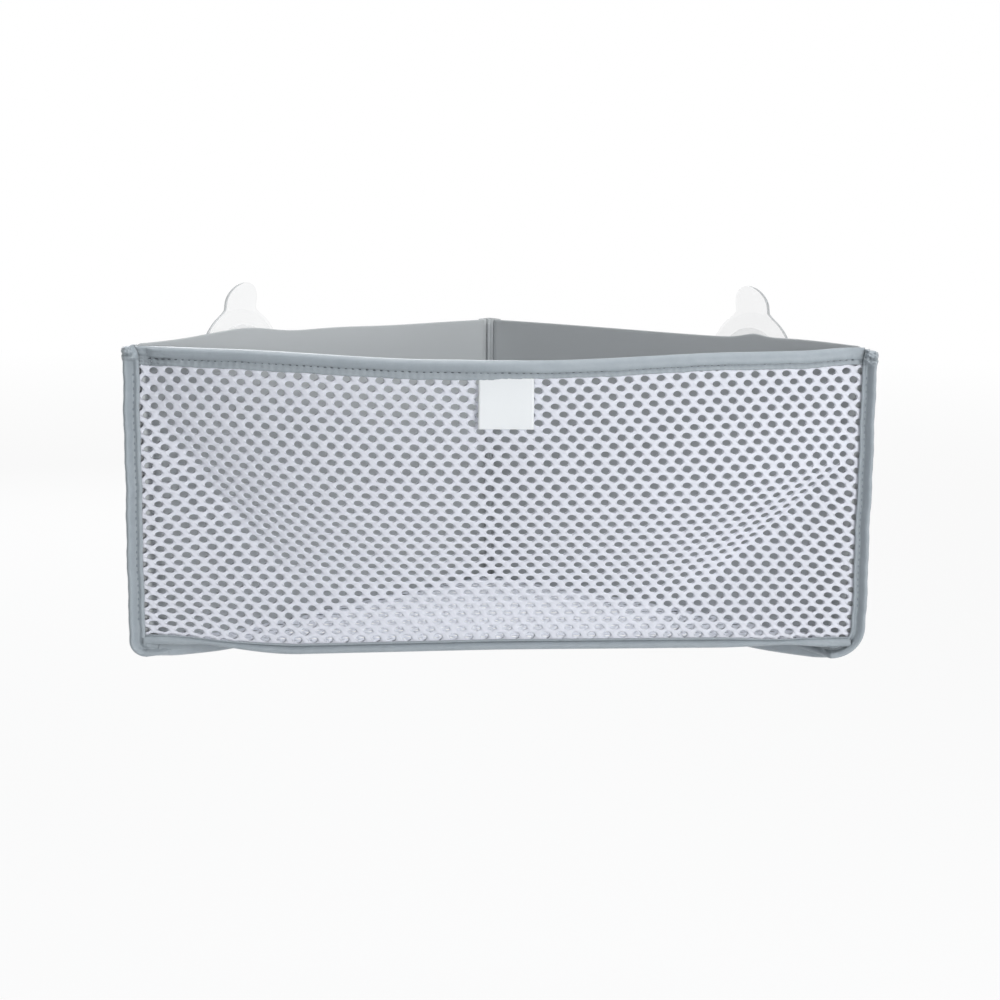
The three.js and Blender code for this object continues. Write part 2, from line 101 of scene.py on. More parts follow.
CORNER_NOSE = {-1: 189.7, 1: 190.2}  # its outermost place
SEAM_GAP = {-1: 4.8, 1: 3.8}  # the panels stop this far from the back corner
HUMPS = {  # where a panel's top edge is pulled up: place, spread to the back and to the front, height
    -1: [(200.0, 24.0, 36.0, 4.0), (140.0, 32.0, 30.0, 1.1)],
    1: [(204.0, 9.0, 8.0, 1.9), (232.0, 38.0, 45.0, 2.0)],
}
TOP_SLOPE = 1.2  # a panel's top falls off this much to its rear
CORNER_SLANT = 3.0  # the outer edge of a corner's top lies this much lower
SLANT_FROM = 181.0

# Knit of the nets
COLUMNS = 94  # half pitches over the front
PITCH = 8.36
HEM = 4.0  # the outer columns are gathered in this width under the tapes
HEM_FIRST = 0.45  # share of it up to the first column
HELD_COLUMNS = 3  # sewn in at each end
ROWS = 38
HOLE_WIDTH = 4.25
HOLE_HEIGHT = 3.0
HOLE_POINTS = 12
HOLE_VARIES = 0.05
SHOULDER = 1.24  # the web reaches its full thickness at this multiple of the hole
STRETCH_ROUNDS = 400
FLOOR_NET = 0.5  # the floor's knit is stretched thin
FLOOR_ROWS = 42
FLOOR_IN_SEAM = 1.5  # the floor net reaches this far into the panels' seam

MM = 0.001
ROOT2 = math.sqrt(2)
UP = np.array([0.0, 0.0, 1.0])
FORWARD = np.array([0.0, -1.0, 0.0])
SIDES = {"left": -1, "right": 1}
RIPPLE = [(0.043, 1.0, 1.0), (0.11, 2.1, 1.0), (0.31, 3.7, 0.6)]  # per mm, share of the phase, height

# Places that follow from the sizes
panel_low = FIT + TAPE
panel_high = panel_low + PANEL_HEIGHT
front_high = panel_high + FRONT_RISE
net_low = panel_low + FRONT_LIFT
net_high = front_high - RIM_DROP
bulge_low = net_low + FLOOR_LEG + 2
corner_high = front_high + CORNER_RISE
panel_end = -(FRONT_HALF + ROOT2 * PANEL_REAR)
panel_length = -ROOT2 * panel_end - PANEL_REAR
net_rear = panel_end - FIT
net_front = net_rear - NET
net_middle = (net_rear + net_front) / 2
corner_x = FRONT_HALF + FIT + NET
inner_corner_x = corner_x - CORNER_LEG
rim_half = inner_corner_x - FIT
bulge_half = rim_half - 3


# Shapes that the pieces share
def ramp(value, start, width):
    """A smooth climb from 0 to 1 over a width of values."""
    share = np.clip((value - start) / width, 0, 1)
    return share * share * (3 - 2 * share)


def unit(vectors):
    return vectors / np.linalg.norm(vectors, axis=-1, keepdims=True)


def run_length(points):
    """Length of a line up to each of its points."""
    return np.concatenate([[0], np.cumsum(np.linalg.norm(np.diff(points, axis=0), axis=1))])


def slopes(height, x, y, reach):
    """Slopes of a surface given as a height over two flat directions."""
    slope_x = (height(x + reach, y) - height(x - reach, y)) / (2 * reach)
    slope_y = (height(x, y + reach) - height(x, y - reach)) / (2 * reach)
    return slope_x, slope_y


def at(x, y, z):
    """Points from their coordinates, each of which may be one value for all."""
    return np.stack(np.broadcast_arrays(x, y, z), axis=-1)


def on_wall(side, along, off, z):
    """Points at a place along one wall, a distance off it and a height."""
    return at(side * (along - off) / ROOT2, -(along + off) / ROOT2, z)


def by_side(pair, x):
    """The left or the right value of a pair, by the sign of x."""
    return np.where(np.asarray(x) < 0, pair[-1], pair[1])


def ripple(t, phase):
    """An uneven wave between -1 and 1, for cloth that no machine has pulled straight."""
    waves = sum(high * np.sin(turns * t + late * phase) for turns, late, high in RIPPLE)
    return waves / sum(high for _, _, high in RIPPLE)


def front_lift(x):
    """How far the front's lower edge hangs above its level in the part."""
    start = by_side(CORNER_LIFT_FROM, x)
    reach = ramp(np.abs(x), start, rim_half - start)
    return FRONT_MIDDLE + by_side(FRONT_TILT, x) * x + by_side(CORNER_LIFT, x) * reach


def rim_height(x):
    """Height of the net's top edge, which sags between the corners and climbs a little at the right end."""
    rise = by_side(RIM_RISE, x) * ramp(np.abs(x), by_side(RIM_RISE_FROM, x), RIM_RISE_OVER)
    return net_high - RIM_SAG + rise + RIM_END_RISE * ramp(x, RIM_END_FROM, RIM_END_OVER)


def top_rise(along):
    """How far a panel's top edge climbs from the back corner to the front."""
    return FRONT_RISE * (np.maximum(along, 0) / panel_length) ** RISE_POWER


def corner_drop(x):
    """How far the top of a corner falls off towards its outer edge."""
    return CORNER_SLANT * ramp(np.abs(x), SLANT_FROM, FRONT_HALF - SLANT_FROM)


def bulge(x, z):
    """How far the front net stands out at a place: round at the rim, with a fold at each side lower down."""
    climb = (z - bulge_low) / (net_high - bulge_low)
    slope = FOLD_SLOPE - by_side(FOLD_STEEPER, x)
    fold_x = np.minimum(FOLD_FOOT + by_side(FOLD_SHIFT, x) + slope * z, bulge_half)
    share = np.minimum(1, np.abs(x) / fold_x)
    edge = by_side(FOLD_EDGE, x)
    power = edge + (RIM_EDGE - edge) * ramp(climb, ROUND_FROM, ROUND_OVER)
    return BULGE * ramp(climb, 0, BULGE_FROM_FLOOR) * (1 - share**power)


def front_y(x, z):
    return net_middle - bulge(x, z)


def on_front(x, z):
    return at(x, front_y(x, z), z)


def foot_dip(side, along):
    """How far a panel's lower edge sags at a place along its wall."""
    return FOOT_DIP * np.exp(-(((along - FOOT_DIP_AT[side]) / FOOT_DIP_WIDTH[side]) ** 2))


def corner_cut(side, gap):
    """How far the lower corner of a panel is rounded up at a distance from its front end."""
    radius = CORNER_ROUND[side] - PANEL_INSET
    return radius - np.sqrt(radius**2 - np.clip(radius - gap, 0, radius) ** 2)


def panel_humps(side, along):
    """How far the straps pull a panel's top edge up."""
    total = np.zeros_like(along)
    for centre, to_back, to_front, height in HUMPS[side]:
        spread = np.where(along < centre, to_back, to_front)
        total += height * np.exp(-(((along - centre) / spread) ** 2))
    return total


def crumple(u, v):
    """Small uneven folds, about 3 mm apart, between -1 and 1."""
    crossed = np.sin(1.9 * u + 1.1 * v) * np.sin(1.3 * v - 1.6 * u + 0.7)
    return (crossed + 0.5 * np.sin(3.7 * v + 2.3 * u)) / 1.5


pad_height = panel_high + float(top_rise(PAD_ALONG)) - PAD_BELOW_TOP
strap_low = pad_height - ARM_BELOW + FIT


def smooth_line(points, steps=4):
    """A Catmull-Rom curve through a few points."""
    points = np.asarray(points, float)
    padded = np.vstack([2 * points[0] - points[1], points, 2 * points[-1] - points[-2]])
    t = np.linspace(0, 1, steps, endpoint=False)[:, None]
    curve = []
    for a, b, c, d in zip(padded, padded[1:], padded[2:], padded[3:]):
        curve.append(
            0.5 * (2 * b + (c - a) * t + (2 * a - 5 * b + 4 * c - d) * t**2 + (3 * b - a - 3 * c + d) * t**3)
        )
    return np.vstack(curve + [points[-1:]])


def ribbon(line, thickness):
    """The closed section of a tape whose middle follows a line, with rounded edges."""
    way = unit(np.gradient(line, axis=0))
    normal = np.stack([-way[:, 1], way[:, 0]], axis=1)
    half = np.full(len(line), thickness / 2)
    half[[0, -1]] *= 0.5
    return np.vstack([line + normal * half[:, None], (line - normal * half[:, None])[::-1]])


def loft(sections):
    """Points and faces of a closed skin over closed sections, with its two ends capped."""
    sections = np.asarray(sections, float)
    count, size = sections.shape[:2]
    first = np.arange(count - 1)[:, None] * size
    j = np.arange(size)[None, :]
    k = (j + 1) % size
    quads = np.stack([first + j, first + k, first + size + k, first + size + j], axis=-1)
    faces = quads.reshape(-1, 4).tolist()
    faces.append(list(range(size))[::-1])
    faces.append(list(range((count - 1) * size, count * size)))
    return sections.reshape(-1, 3), faces


def loft_uv(sections):
    """Flat coordinates of a loft's points, in millimetres along and round it."""
    sections = np.asarray(sections, float)
    along = run_length(sections.mean(axis=1))
    around = run_length(sections[len(sections) // 2])
    return np.stack([g.ravel() for g in np.meshgrid(along, around, indexing="ij")], axis=1)


def joined(parts):
    """Several point and face lists as one."""
    points, faces, start = [], [], 0
    for some_points, some_faces in parts:
        points.append(np.asarray(some_points, float))
        faces.extend([[i + start for i in face] for face in some_faces])
        start += len(some_points)
    return np.vstack(points), faces


def new_object(name, data):
    made = bpy.data.objects.new(name, data)
    bpy.context.scene.collection.objects.link(made)
    return made


def new_piece(name, points, faces, material, uv=None):
    """A smooth mesh object from points in millimetres, with its faces turned outwards."""
    data = bpy.data.meshes.new(name)
    data.from_pydata((np.asarray(points) * MM).tolist(), [], faces)
    if uv is not None:
        corners = np.empty(len(data.loops), np.int32)
        data.loops.foreach_get("vertex_index", corners)
        layer = data.uv_layers.new(name="flat")
        layer.data.foreach_set("uv", np.asarray(uv, np.float32)[corners].ravel())
    shape = bmesh.new()
    shape.from_mesh(data)
    bmesh.ops.recalc_face_normals(shape, faces=shape.faces)
    shape.to_mesh(data)
    shape.free()
    data.shade_smooth()
    data.materials.append(material)
    return new_object(name, data)


def stitch_row(places, ways, normals, length, radius):
    """Short stitches at places along a seam, each a capsule that dips into the cloth at its ends."""
    sides = 6
    turn = np.arange(sides) * 2 * math.pi / sides
    stations = [-0.5, -0.3, 0.0, 0.3, 0.5]
    girth = [0.35, 0.9, 1.0, 0.9, 0.35]
    lift = [-0.8, 0.1, 0.4, 0.1, -0.8]
    stitches = []
    for place, way, normal in zip(places, ways, normals):
        ring = np.cos(turn)[:, None] * normal + np.sin(turn)[:, None] * np.cross(way, normal)
        sections = [
            place + way * (s * length) + normal * (h * radius) + ring * (g * radius)
            for s, g, h in zip(stations, girth, lift)
        ]
        stitches.append(loft(sections))
    return stitches


def spaced(curve, pitch, margin):
    """Places at an even pitch along a curve, with the ways of the curve there."""
    along = run_length(curve)
    wanted = np.arange(margin + pitch / 2, along[-1] - margin, pitch)

    def there(values):
        return np.stack([np.interp(wanted, along, values[:, k]) for k in range(3)], axis=1)

    return there(curve), unit(there(np.gradient(curve, axis=0)))


def dress(piece, body, slot, *nodes):
    """Puts a piece on a body, in place of the part's own nodes; the slot is not used."""
    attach(piece, body)
    if nodes:
        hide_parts(*nodes)


def lofted(name, sections, material, slot, *nodes):
    """A piece of the bin over closed sections."""
    piece = new_piece(name, *loft(sections), material, loft_uv(sections))
    dress(piece, "bin", slot, *nodes)
    return piece


# Materials
THREAD_WAVE = math.pi / 10  # scale at which a wave texture has one band in each unit


class Nodes:
    """A node tree, with helpers that add nodes to it."""

    def __init__(self, tree):
        self.tree = tree

    def give(self, socket, value):
        """Sets an input to a value, or links it to an output."""
        if isinstance(value, bpy.types.NodeSocket):
            self.tree.links.new(value, socket)
        else:
            socket.default_value = value

    def node(self, kind, **inputs):
        made = self.tree.nodes.new(kind)
        for name, value in inputs.items():
            self.give(made.inputs[name], value)
        return made

    def scaled(self, vector, scale):
        return self.node("ShaderNodeMapping", Vector=vector, Scale=scale).outputs["Vector"]

    def object_place(self):
        return self.node("ShaderNodeTexCoord").outputs["Object"]

    def math(self, operation, *values):
        made = self.node("ShaderNodeMath")
        made.operation = operation
        for socket, value in zip(made.inputs, values):
            self.give(socket, value)
        return made.outputs["Value"]


class Shader(Nodes):
    """A principled material with a few helpers for cloth."""

    def __init__(self, name, colour, **sockets):
        self.material = bpy.data.materials.new(name)
        self.material.use_nodes = True
        super().__init__(self.material.node_tree)
        self.inputs = self.tree.nodes["Principled BSDF"].inputs
        self.inputs["Base Color"].default_value = (*colour, 1)
        for socket, value in sockets.items():
            self.inputs[socket.replace("_", " ")].default_value = value

    def wave(self, vector, direction, scale, distortion=0.0):
        made = self.node("ShaderNodeTexWave", Vector=vector, Scale=scale, Distortion=distortion)
        made.bands_direction = direction
        return made.outputs["Fac"]

    def threads(self, across, along, distortion=0.0):
        """The two crossed sets of threads of a cloth, of these widths in millimetres."""
        places = self.node("ShaderNodeUVMap")
        places.uv_map = "flat"
        vector = self.scaled(places.outputs["UV"], (1 / across, 1 / along, 1))
        return [self.wave(vector, way, THREAD_WAVE, distortion) for way in "XY"]

    def noise(self, scale, detail=3.0):
        place = self.object_place()
        return self.node("ShaderNodeTexNoise", Vector=place, Scale=scale, Detail=detail).outputs["Fac"]

    def bump(self, height, distance, strength):
        made = self.node("ShaderNodeBump", Height=height, Distance=distance, Strength=strength)
        self.give(self.inputs["Normal"], made.outputs["Normal"])

    def woven(self, across, along, distance, strength):
        """Adds the bump of a plain weave and returns its height."""
        height = self.math("MULTIPLY", *self.threads(across, along))
        self.bump(height, distance, strength)
        return height

    def tint(self, factor, *colours):
        """Colours the surface from a dark to a light colour by a factor."""
        made = self.node("ShaderNodeValToRGB", Fac=factor)
        for stop, colour in zip(made.color_ramp.elements, colours):
            stop.color = (*colour, 1)
        self.give(self.inputs["Base Color"], made.outputs["Color"])

    def paint_crease_shade(self, reach, keep):
        """Paints shade into the colour in grooves and creases by ambient occlusion; a share of the colour is
        kept where they are deepest.
        """
        near = self.node("ShaderNodeAmbientOcclusion", Distance=reach)
        near.samples = 6
        share = self.math("ADD", self.math("MULTIPLY", near.outputs["AO"], 1 - keep), keep)
        colour = self.inputs["Base Color"]
        made = self.node("ShaderNodeVectorMath")
        made.operation = "SCALE"
        self.give(made.inputs[0], colour.links[0].from_socket)
        self.give(made.inputs["Scale"], share)
        self.give(colour, made.outputs["Vector"])


def panel_fabric():
    shader = Shader("panel_fabric", (0.475, 0.495, 0.50), Roughness=0.8, Sheen_Weight=0.2,
                    Sheen_Roughness=0.5)
    shader.woven(0.45, 0.45, 0.00012, 0.5)
    shader.tint(shader.noise(9.0), (0.46, 0.48, 0.485), (0.49, 0.51, 0.515))
    return shader.material


def net_knit():
    shader = Shader("net_knit", (0.81, 0.83, 0.91), Roughness=0.75, Sheen_Weight=0.2, Sheen_Roughness=0.4)
    height = shader.math("ADD", *shader.threads(0.55, 0.7, 2.0))
    shader.bump(height, 0.00016, 0.6)
    # partly painted shade: raised threads are coloured lighter and the hollows between them darker, mixed
    # with random tone from noise
    shade = shader.math("MULTIPLY", shader.math("ADD", height, shader.noise(260.0)), 0.33)
    shader.tint(shade, (0.73, 0.75, 0.83), (0.88, 0.90, 0.97))
    return shader.material


def satin_tape():
    shader = Shader("satin_tape", (0.355, 0.40, 0.435), Roughness=0.38, Specular_IOR_Level=0.55,
                    Sheen_Weight=0.3, Sheen_Roughness=0.35)
    weave = shader.math("MULTIPLY", *shader.threads(0.35, 0.6))
    creases = shader.noise(420.0, 4.0)
    shader.bump(shader.math("ADD", shader.math("MULTIPLY", weave, 0.35), creases), 0.00045, 0.55)
    shader.tint(shader.noise(210.0), (0.305, 0.35, 0.385), (0.385, 0.43, 0.465))
    # painted shade: the tape is coloured darker in its grooves and creases, where shade falls
    shader.paint_crease_shade(0.006, 0.35)
    return shader.material


def seam_thread(name, colour):
    shader = Shader(name, colour, Roughness=0.6)
    shader.bump(shader.wave(shader.object_place(), "DIAGONAL", 700.0), 0.00008, 0.5)
    return shader.material


def woven_cloth(name, colour, weave, dark, light, **sockets):
    shader = Shader(name, colour, **sockets)
    shader.tint(shader.woven(*weave), dark, light)
    return shader.material


def clear_plastic(name, colour, alpha, roughness):
    """Thin clear plastic: mostly see-through, with gloss and a faint haze."""
    shader = Shader(name, colour, Roughness=roughness, Alpha=alpha, IOR=1.46)
    shader.bump(shader.noise(60.0), 0.0001, 0.2)
    return shader.material


FABRIC = panel_fabric()
KNIT = net_knit()
SATIN = satin_tape()
# painted shade: the rim's stitches are a near-black thread that stands in for its needle holes in shade; the
# other seams keep a tonal thread
HOLE_SHADE_THREAD = seam_thread("rim_thread_painted_shade", (0.09, 0.105, 0.12))
TONAL_THREAD = seam_thread("tonal_thread", (0.22, 0.25, 0.28))
LABEL = woven_cloth(
    "label_weave", (0.86, 0.88, 0.895), (0.3, 0.5, 0.0001, 0.5), (0.825, 0.85, 0.865), (0.885, 0.91, 0.925),
    Roughness=0.5, Sheen_Weight=0.3, Sheen_Roughness=0.4,
)
WEBBING = woven_cloth(
    "webbing_weave", (0.25, 0.275, 0.285), (1.1, 1.4, 0.0003, 0.8), (0.20, 0.22, 0.23), (0.28, 0.305, 0.315),
    Roughness=0.7, Sheen_Weight=0.2,
)
FILM = clear_plastic("clear_film", (0.62, 0.65, 0.67), 0.07, 0.12)
# painted shade: a greyer, less clear plastic for one side of the film's cut edge, for the dark line that the
# clear edge shows
FILM_EDGE_SHADE = clear_plastic("film_edge_painted_shade", (0.5, 0.52, 0.53), 0.6, 0.3)
HOOK = clear_plastic("clear_hook", (0.93, 0.95, 0.96), 0.12, 0.15)
GLUE = clear_plastic("clear_glue", (0.9, 0.92, 0.93), 0.03, 0.4)


# Nets
def lattice_net(rows, row_height, ends):
    """A flat knit: staggered oval holes in rows, between the two ends that a row line gives.
    Returns flat places (u, v), a thickness share for each, and faces for one side."""
    half = PITCH / 2
    flat, thick, faces = [], [], []
    index = {}
    varied = np.random.default_rng(5)

    def put(u, v, share):
        flat.append((u, v))
        thick.append(share)
        return len(flat) - 1

    lines = []
    for line in range(rows + 1):
        v = line * row_height
        left, right = ends(v)
        first = math.floor(left / half) + 1
        last = math.ceil(right / half) - 1
        outer = line in (0, rows)
        for k in range(first, last + 1):
            index[line, k] = put(k * half, v, 0.0 if outer else 1.0)
        index[line, first - 1] = put(left, v, 0.0)
        index[line, last + 1] = put(right, v, 0.0)
        lines.append(range(first - 1, last + 2))

    angles = np.arange(HOLE_POINTS) * 2 * math.pi / HOLE_POINTS + math.pi / HOLE_POINTS
    oval = np.stack([np.cos(angles) * HOLE_WIDTH / 2, np.sin(angles) * HOLE_HEIGHT / 2], axis=1)
    first_points = [11, 1, 2, 4, 7, 8]  # where each corner of a cell takes over the points of its hole

    def add_cell(row, k):
        centre = np.array([k * half, (row + 0.5) * row_height])
        hole = oval * (1 + HOLE_VARIES * varied.uniform(-1, 1, 2))
        rim = [put(*(centre + p), 0.0) for p in hole]
        shoulder = [put(*(centre + p * SHOULDER), 1.0) for p in hole]
        for i in range(HOLE_POINTS):
            n = (i + 1) % HOLE_POINTS
            faces.append([rim[i], rim[n], shoulder[n], shoulder[i]])
        places = [(0, 1), (1, 1), (1, 0), (1, -1), (0, -1), (0, 0)]
        corners = [index[row + up, k + over] for up, over in places]
        for i, corner in enumerate(corners):
            stop = first_points[(i + 1) % 6]
            j = first_points[i]
            while j != stop:
                n = (j + 1) % HOLE_POINTS
                faces.append([shoulder[j], shoulder[n], corner])
                j = n
            faces.append([shoulder[stop], corners[(i + 1) % 6], corner])

    for row in range(rows):
        low, high = lines[row], lines[row + 1]
        inside = [k for k in low[1:-1] if k in high[1:-1]]
        shift = row % 2
        centres = [k for k in inside if (k + shift) % 2 == 0 and k - 1 in inside and k + 1 in inside]
        for k in centres:
            add_cell(row, k)
        for beside in (lambda k: k < centres[0], lambda k: k > centres[-1]):
            lower = [index[row, k] for k in low if beside(k)]
            upper = [index[row + 1, k] for k in high if beside(k)]
            faces.append(lower + upper[::-1])
    return np.array(flat), np.array(thick), faces


def two_sided(places, normals, thick, faces, thickness):
    """Both sides of a net: points with no thickness are shared, so that it is one closed skin."""
    front = places + normals * (thick * thickness / 2)[:, None]
    back = places - normals * (thick * thickness / 2)[:, None]
    own_back = np.flatnonzero(thick > 0)
    to_back = np.arange(len(places))
    to_back[own_back] = len(places) + np.arange(len(own_back))
    points = np.vstack([front, back[own_back]])
    both = faces + [[int(to_back[i]) for i in face[::-1]] for face in faces]
    return points, both, np.concatenate([np.arange(len(places)), own_back])


def settle_front(row_height):
    """Spreads the cloth over the hang of the front until its threads pull evenly.
    Returns the x and z of each knot of the lattice."""
    inner = FRONT_HALF - HEM
    hem = np.array([FRONT_HALF - HEM_FIRST * HEM, FRONT_HALF])
    u = np.concatenate([-hem[::-1], np.linspace(-inner, inner, COLUMNS - 3), hem])
    share = np.linspace(0, 1, ROWS + 1)[:, None]
    across = (u / FRONT_HALF + 1) / 2
    pulled = CORNER_STRETCH * (1 - np.exp(-across / STRETCH_REACH)) * (1 - across)
    x = u[None, :] + pulled[None, :] * (1 - share)
    foot = net_low + front_lift(x)
    drop = by_side(ROW_DROP, u) * (u / FRONT_HALF) ** 2
    z = foot + (rim_height(x) - foot) * share - drop * 4 * share * (1 - share)
    every, low, high = slice(None), slice(None, -1), slice(1, None)
    slant = math.hypot(PITCH / 2, row_height)
    springs = [  # knots at the two ends of the threads, and their length at rest
        ((every, low), (every, high), PITCH / 2),
        ((low, every), (high, every), row_height),
        ((low, low), (high, high), slant),
        ((low, high), (high, low), slant),
    ]
    step, reach = 0.12, 0.05
    free = (slice(1, -1), slice(HELD_COLUMNS, -HELD_COLUMNS))
    for _ in range(STRETCH_ROUNDS):
        places = on_front(x, z)
        pull = np.zeros_like(places)
        for a, b, rest in springs:
            gap = places[b] - places[a]
            tension = gap * (1 - rest / np.linalg.norm(gap, axis=-1, keepdims=True))
            pull[a] += tension
            pull[b] -= tension
        slope_x, slope_z = slopes(front_y, x, z, reach)
        move_x = step * (pull[..., 0] + slope_x * pull[..., 1])
        move_z = step * (pull[..., 2] + slope_z * pull[..., 1])
        x[free] += move_x[free]
        z[free] += move_z[free]
    return x, z


def between_knots(grid, columns, rows):
    """Values of a lattice grid at fractional columns and rows."""
    i = np.clip(np.floor(columns).astype(int), 0, grid.shape[1] - 2)
    j = np.clip(np.floor(rows).astype(int), 0, grid.shape[0] - 2)
    s, t = columns - i, rows - j
    low = grid[j, i] * (1 - s) + grid[j, i + 1] * s
    high = grid[j + 1, i] * (1 - s) + grid[j + 1, i + 1] * s
    return low * (1 - t) + high * t


def surface_normals(height, x, y, reach=0.4):
    slope_x, slope_y = slopes(height, x, y, reach)
    return unit(at(-slope_x, -slope_y, 1.0))


def add_net(name, node, knit, places, normals, thickness):
    """A net laid over places, less its holes."""
    flat, thick, faces = knit
    points, both, source = two_sided(places, normals, thick, faces, thickness)
    piece = new_piece(name, points, both, KNIT, flat[source])
    dress(piece, "bin", "white_net", node)


def add_front_net():
    height = net_high - net_low
    row_height = height / ROWS
    half = COLUMNS * PITCH / 4
    knit = lattice_net(ROWS, row_height, lambda v: (-half, half))
    grid_x, grid_z = settle_front(row_height)
    columns = knit[0][:, 0] / (PITCH / 2) + COLUMNS / 2
    rows = knit[0][:, 1] / row_height
    x = between_knots(grid_x, columns, rows)
    z = between_knots(grid_z, columns, rows)
    normals = surface_normals(front_y, x, z)[:, [0, 2, 1]]
    places = on_front(x, z)
    add_net("front_net_knit", "front_net", knit, places, normals, NET)


def floor_height(x, y):
    """Level of the floor net: it hangs on the front's lower edge and is lowest in the back corner."""
    from_back = ramp(-y, BACK_DROP_FROM, BACK_DROP_OVER)
    at_front = 1 - ramp(y - net_rear, FRONT_EDGE_FROM, FRONT_EDGE_OVER)
    inside = np.clip(x, -FLOOR_LEVEL_HALF, FLOOR_LEVEL_HALF)
    level = front_lift(inside) * (1 - at_front) + front_lift(x) * at_front
    return net_low + NET / 2 + level * from_back - BACK_DROP * (1 - from_back)


def add_floor_net():
    front = net_rear
    depth = -ROOT2 * PANEL_FRONT + FLOOR_IN_SEAM - front
    row_height = depth / FLOOR_ROWS

    def ends(v):
        half = max(depth - v, 1.0)
        return -half, half

    knit = lattice_net(FLOOR_ROWS - 2, row_height, ends)
    x, y = knit[0].T + [[0.0], [front]]
    places = at(x, y, floor_height(x, y))
    normals = surface_normals(floor_height, x, y)
    add_net("floor_net_knit", "floor_net", knit, places, normals, FLOOR_NET)


# Bindings: folded tapes, each with a puffed roll over the edge, a groove at the stitches and a flat flange
STITCH_PITCH = 3.5
STITCH_LENGTH = 1.7
STITCH_RADIUS = 0.32
STITCH_SUNK = 0.08
SEAM_MARGIN = 6.0
GROOVE = 5.3  # the rim's stitches lie this far down
GROOVE_OUT = 0.75
RIM_FLANGE = 0.95
RIM_ROLL = {  # half the section: the roll hangs over its groove on the left and lies flat on the right
    -1: [
        (RIM_FLANGE, -8.9), (1.25, -7.6), (GROOVE_OUT, -GROOVE), (1.3, -4.6), (2.8, -3.0), (3.9, -1.3),
        (2.5, 0.1),
    ],
    1: [
        (RIM_FLANGE, -RIM_LEG), (1.2, -7.0), (0.8, -GROOVE), (2.5, -4.5), (2.8, -3.2), (2.1, -1.4),
        (1.0, -0.1),
    ],
}
RIM_CHANGE = 50.0  # the section changes from left to right over this width
RIM_PINCH = 0.55  # share of the roll that is lost at its ends
PINCH_OVER = 9.0
RIM_CRUSH = 0.7  # the rim's left end is crumpled under the corner's cap
CRUSH_FROM = 160.0
CRUSH_OVER = 14.0
PUCKER = 0.16  # the tape draws in at each stitch
ROLL_FOOT = 0.55
UNDER_DROP = 0.6
UNDER_SEAM = 6.0
FLOOR_FLANGE = 0.9
FRONT_FLOOR_LINE = [
    (0.75, 4.3), (1.1, 3.7), (0.8, 2.9), (2.0, 2.3), (2.9, 1.1), (2.0, -0.3), (0.2, -ROLL_FOOT),
    (-2.2, -UNDER_DROP), (-5.0, -UNDER_DROP), (-UNDER_LEG, -ROLL_FOOT),
]
SLIM = 0.45  # share of the front floor tape's roll that is lost towards its ends
SLIM_FROM = 112.0
SLIM_OVER = 40.0
FLAP = {-1: 2.0, 1: 2.2}  # and it hangs this much lower there
FLAP_FROM = 146.0
FLAP_OVER = 26.0


def add_tape(name, sections, node, material=SATIN):
    """A tape lofted over sections that follow a line."""
    piece = lofted(name, sections, material, "grey_tape", node)


def add_thread(name, node, stitches, material=TONAL_THREAD):
    piece = new_piece(name, *joined(stitches), material)
    dress(piece, "bin", "grey_thread", node)


def add_seam(name, node, seam, margin, facing):
    """A row of stitches along a seam in cloth that faces one way."""
    spots, ways = spaced(seam, STITCH_PITCH, margin)
    normals = np.repeat([facing], len(spots), axis=0)
    add_thread(name, node, stitch_row(spots, ways, normals, STITCH_LENGTH, STITCH_RADIUS))


def level_out(ways):
    """The level way out of the front, square to the ways along it."""
    return unit(at(ways[:, 1], -ways[:, 0], 0.0))


def add_rim():
    x = np.linspace(-rim_half - 4, rim_half + 4, 420)
    z = rim_height(x)
    places = on_front(x, z)
    out = level_out(np.gradient(places, axis=0))
    lines = {}
    for half, front in RIM_ROLL.items():
        rear = [(-across, down) for across, down in front[::-1]]
        lines[half] = smooth_line(front + [(0.0, 0.4)] + rear, 3)
    to_right = ramp(x, -RIM_CHANGE / 2, RIM_CHANGE)
    pinched = 1 - RIM_PINCH * ramp(np.abs(x), rim_half - PINCH_OVER, PINCH_OVER)
    puff = pinched * (1 + 0.1 * ripple(x, 1.3))
    edge = 0.3 * ripple(1.7 * x, 0.4) + 0.18 * ripple(9 * x, 2.0)
    pucker = PUCKER * np.sin(2 * math.pi * x / STITCH_PITCH)
    sections = []
    for place, way_out, swell, shift, wave, turn in zip(places, out, puff, edge, pucker, to_right):
        section = ribbon(lines[-1] + (lines[1] - lines[-1]) * turn, TAPE)
        across, down = section[:, :1], section[:, 1:]
        folds = crumple(place[0], down)
        flange = ramp(-down, GROOVE - 1.2, 1.2)
        puffed = np.maximum(np.abs(across) - RIM_FLANGE, 0) * (swell - 1)
        puffed = puffed + (wave + 0.3 * (1 - turn) * folds) * flange
        puffed += RIM_CRUSH * ramp(-place[0], CRUSH_FROM, CRUSH_OVER) * (folds - 0.5)
        hung = down + shift * ramp(-down, 0, RIM_LEG)
        sections.append(place + (across + puffed * np.sign(across)) * way_out + hung * UP)
    add_tape("rim_tape", sections, "rim_binding")
    stitches = []
    for face in (1, -1):
        seam = places + out * face * (GROOVE_OUT + TAPE / 2 - STITCH_SUNK) - UP * GROOVE
        spots, ways = spaced(seam, STITCH_PITCH, SEAM_MARGIN)
        stitches += stitch_row(spots, ways, face * level_out(ways), STITCH_LENGTH, STITCH_RADIUS)
    # the near-black thread paints the shaded needle holes along the rim's seam
    add_thread("rim_stitches", "rim_thread", stitches, HOLE_SHADE_THREAD)


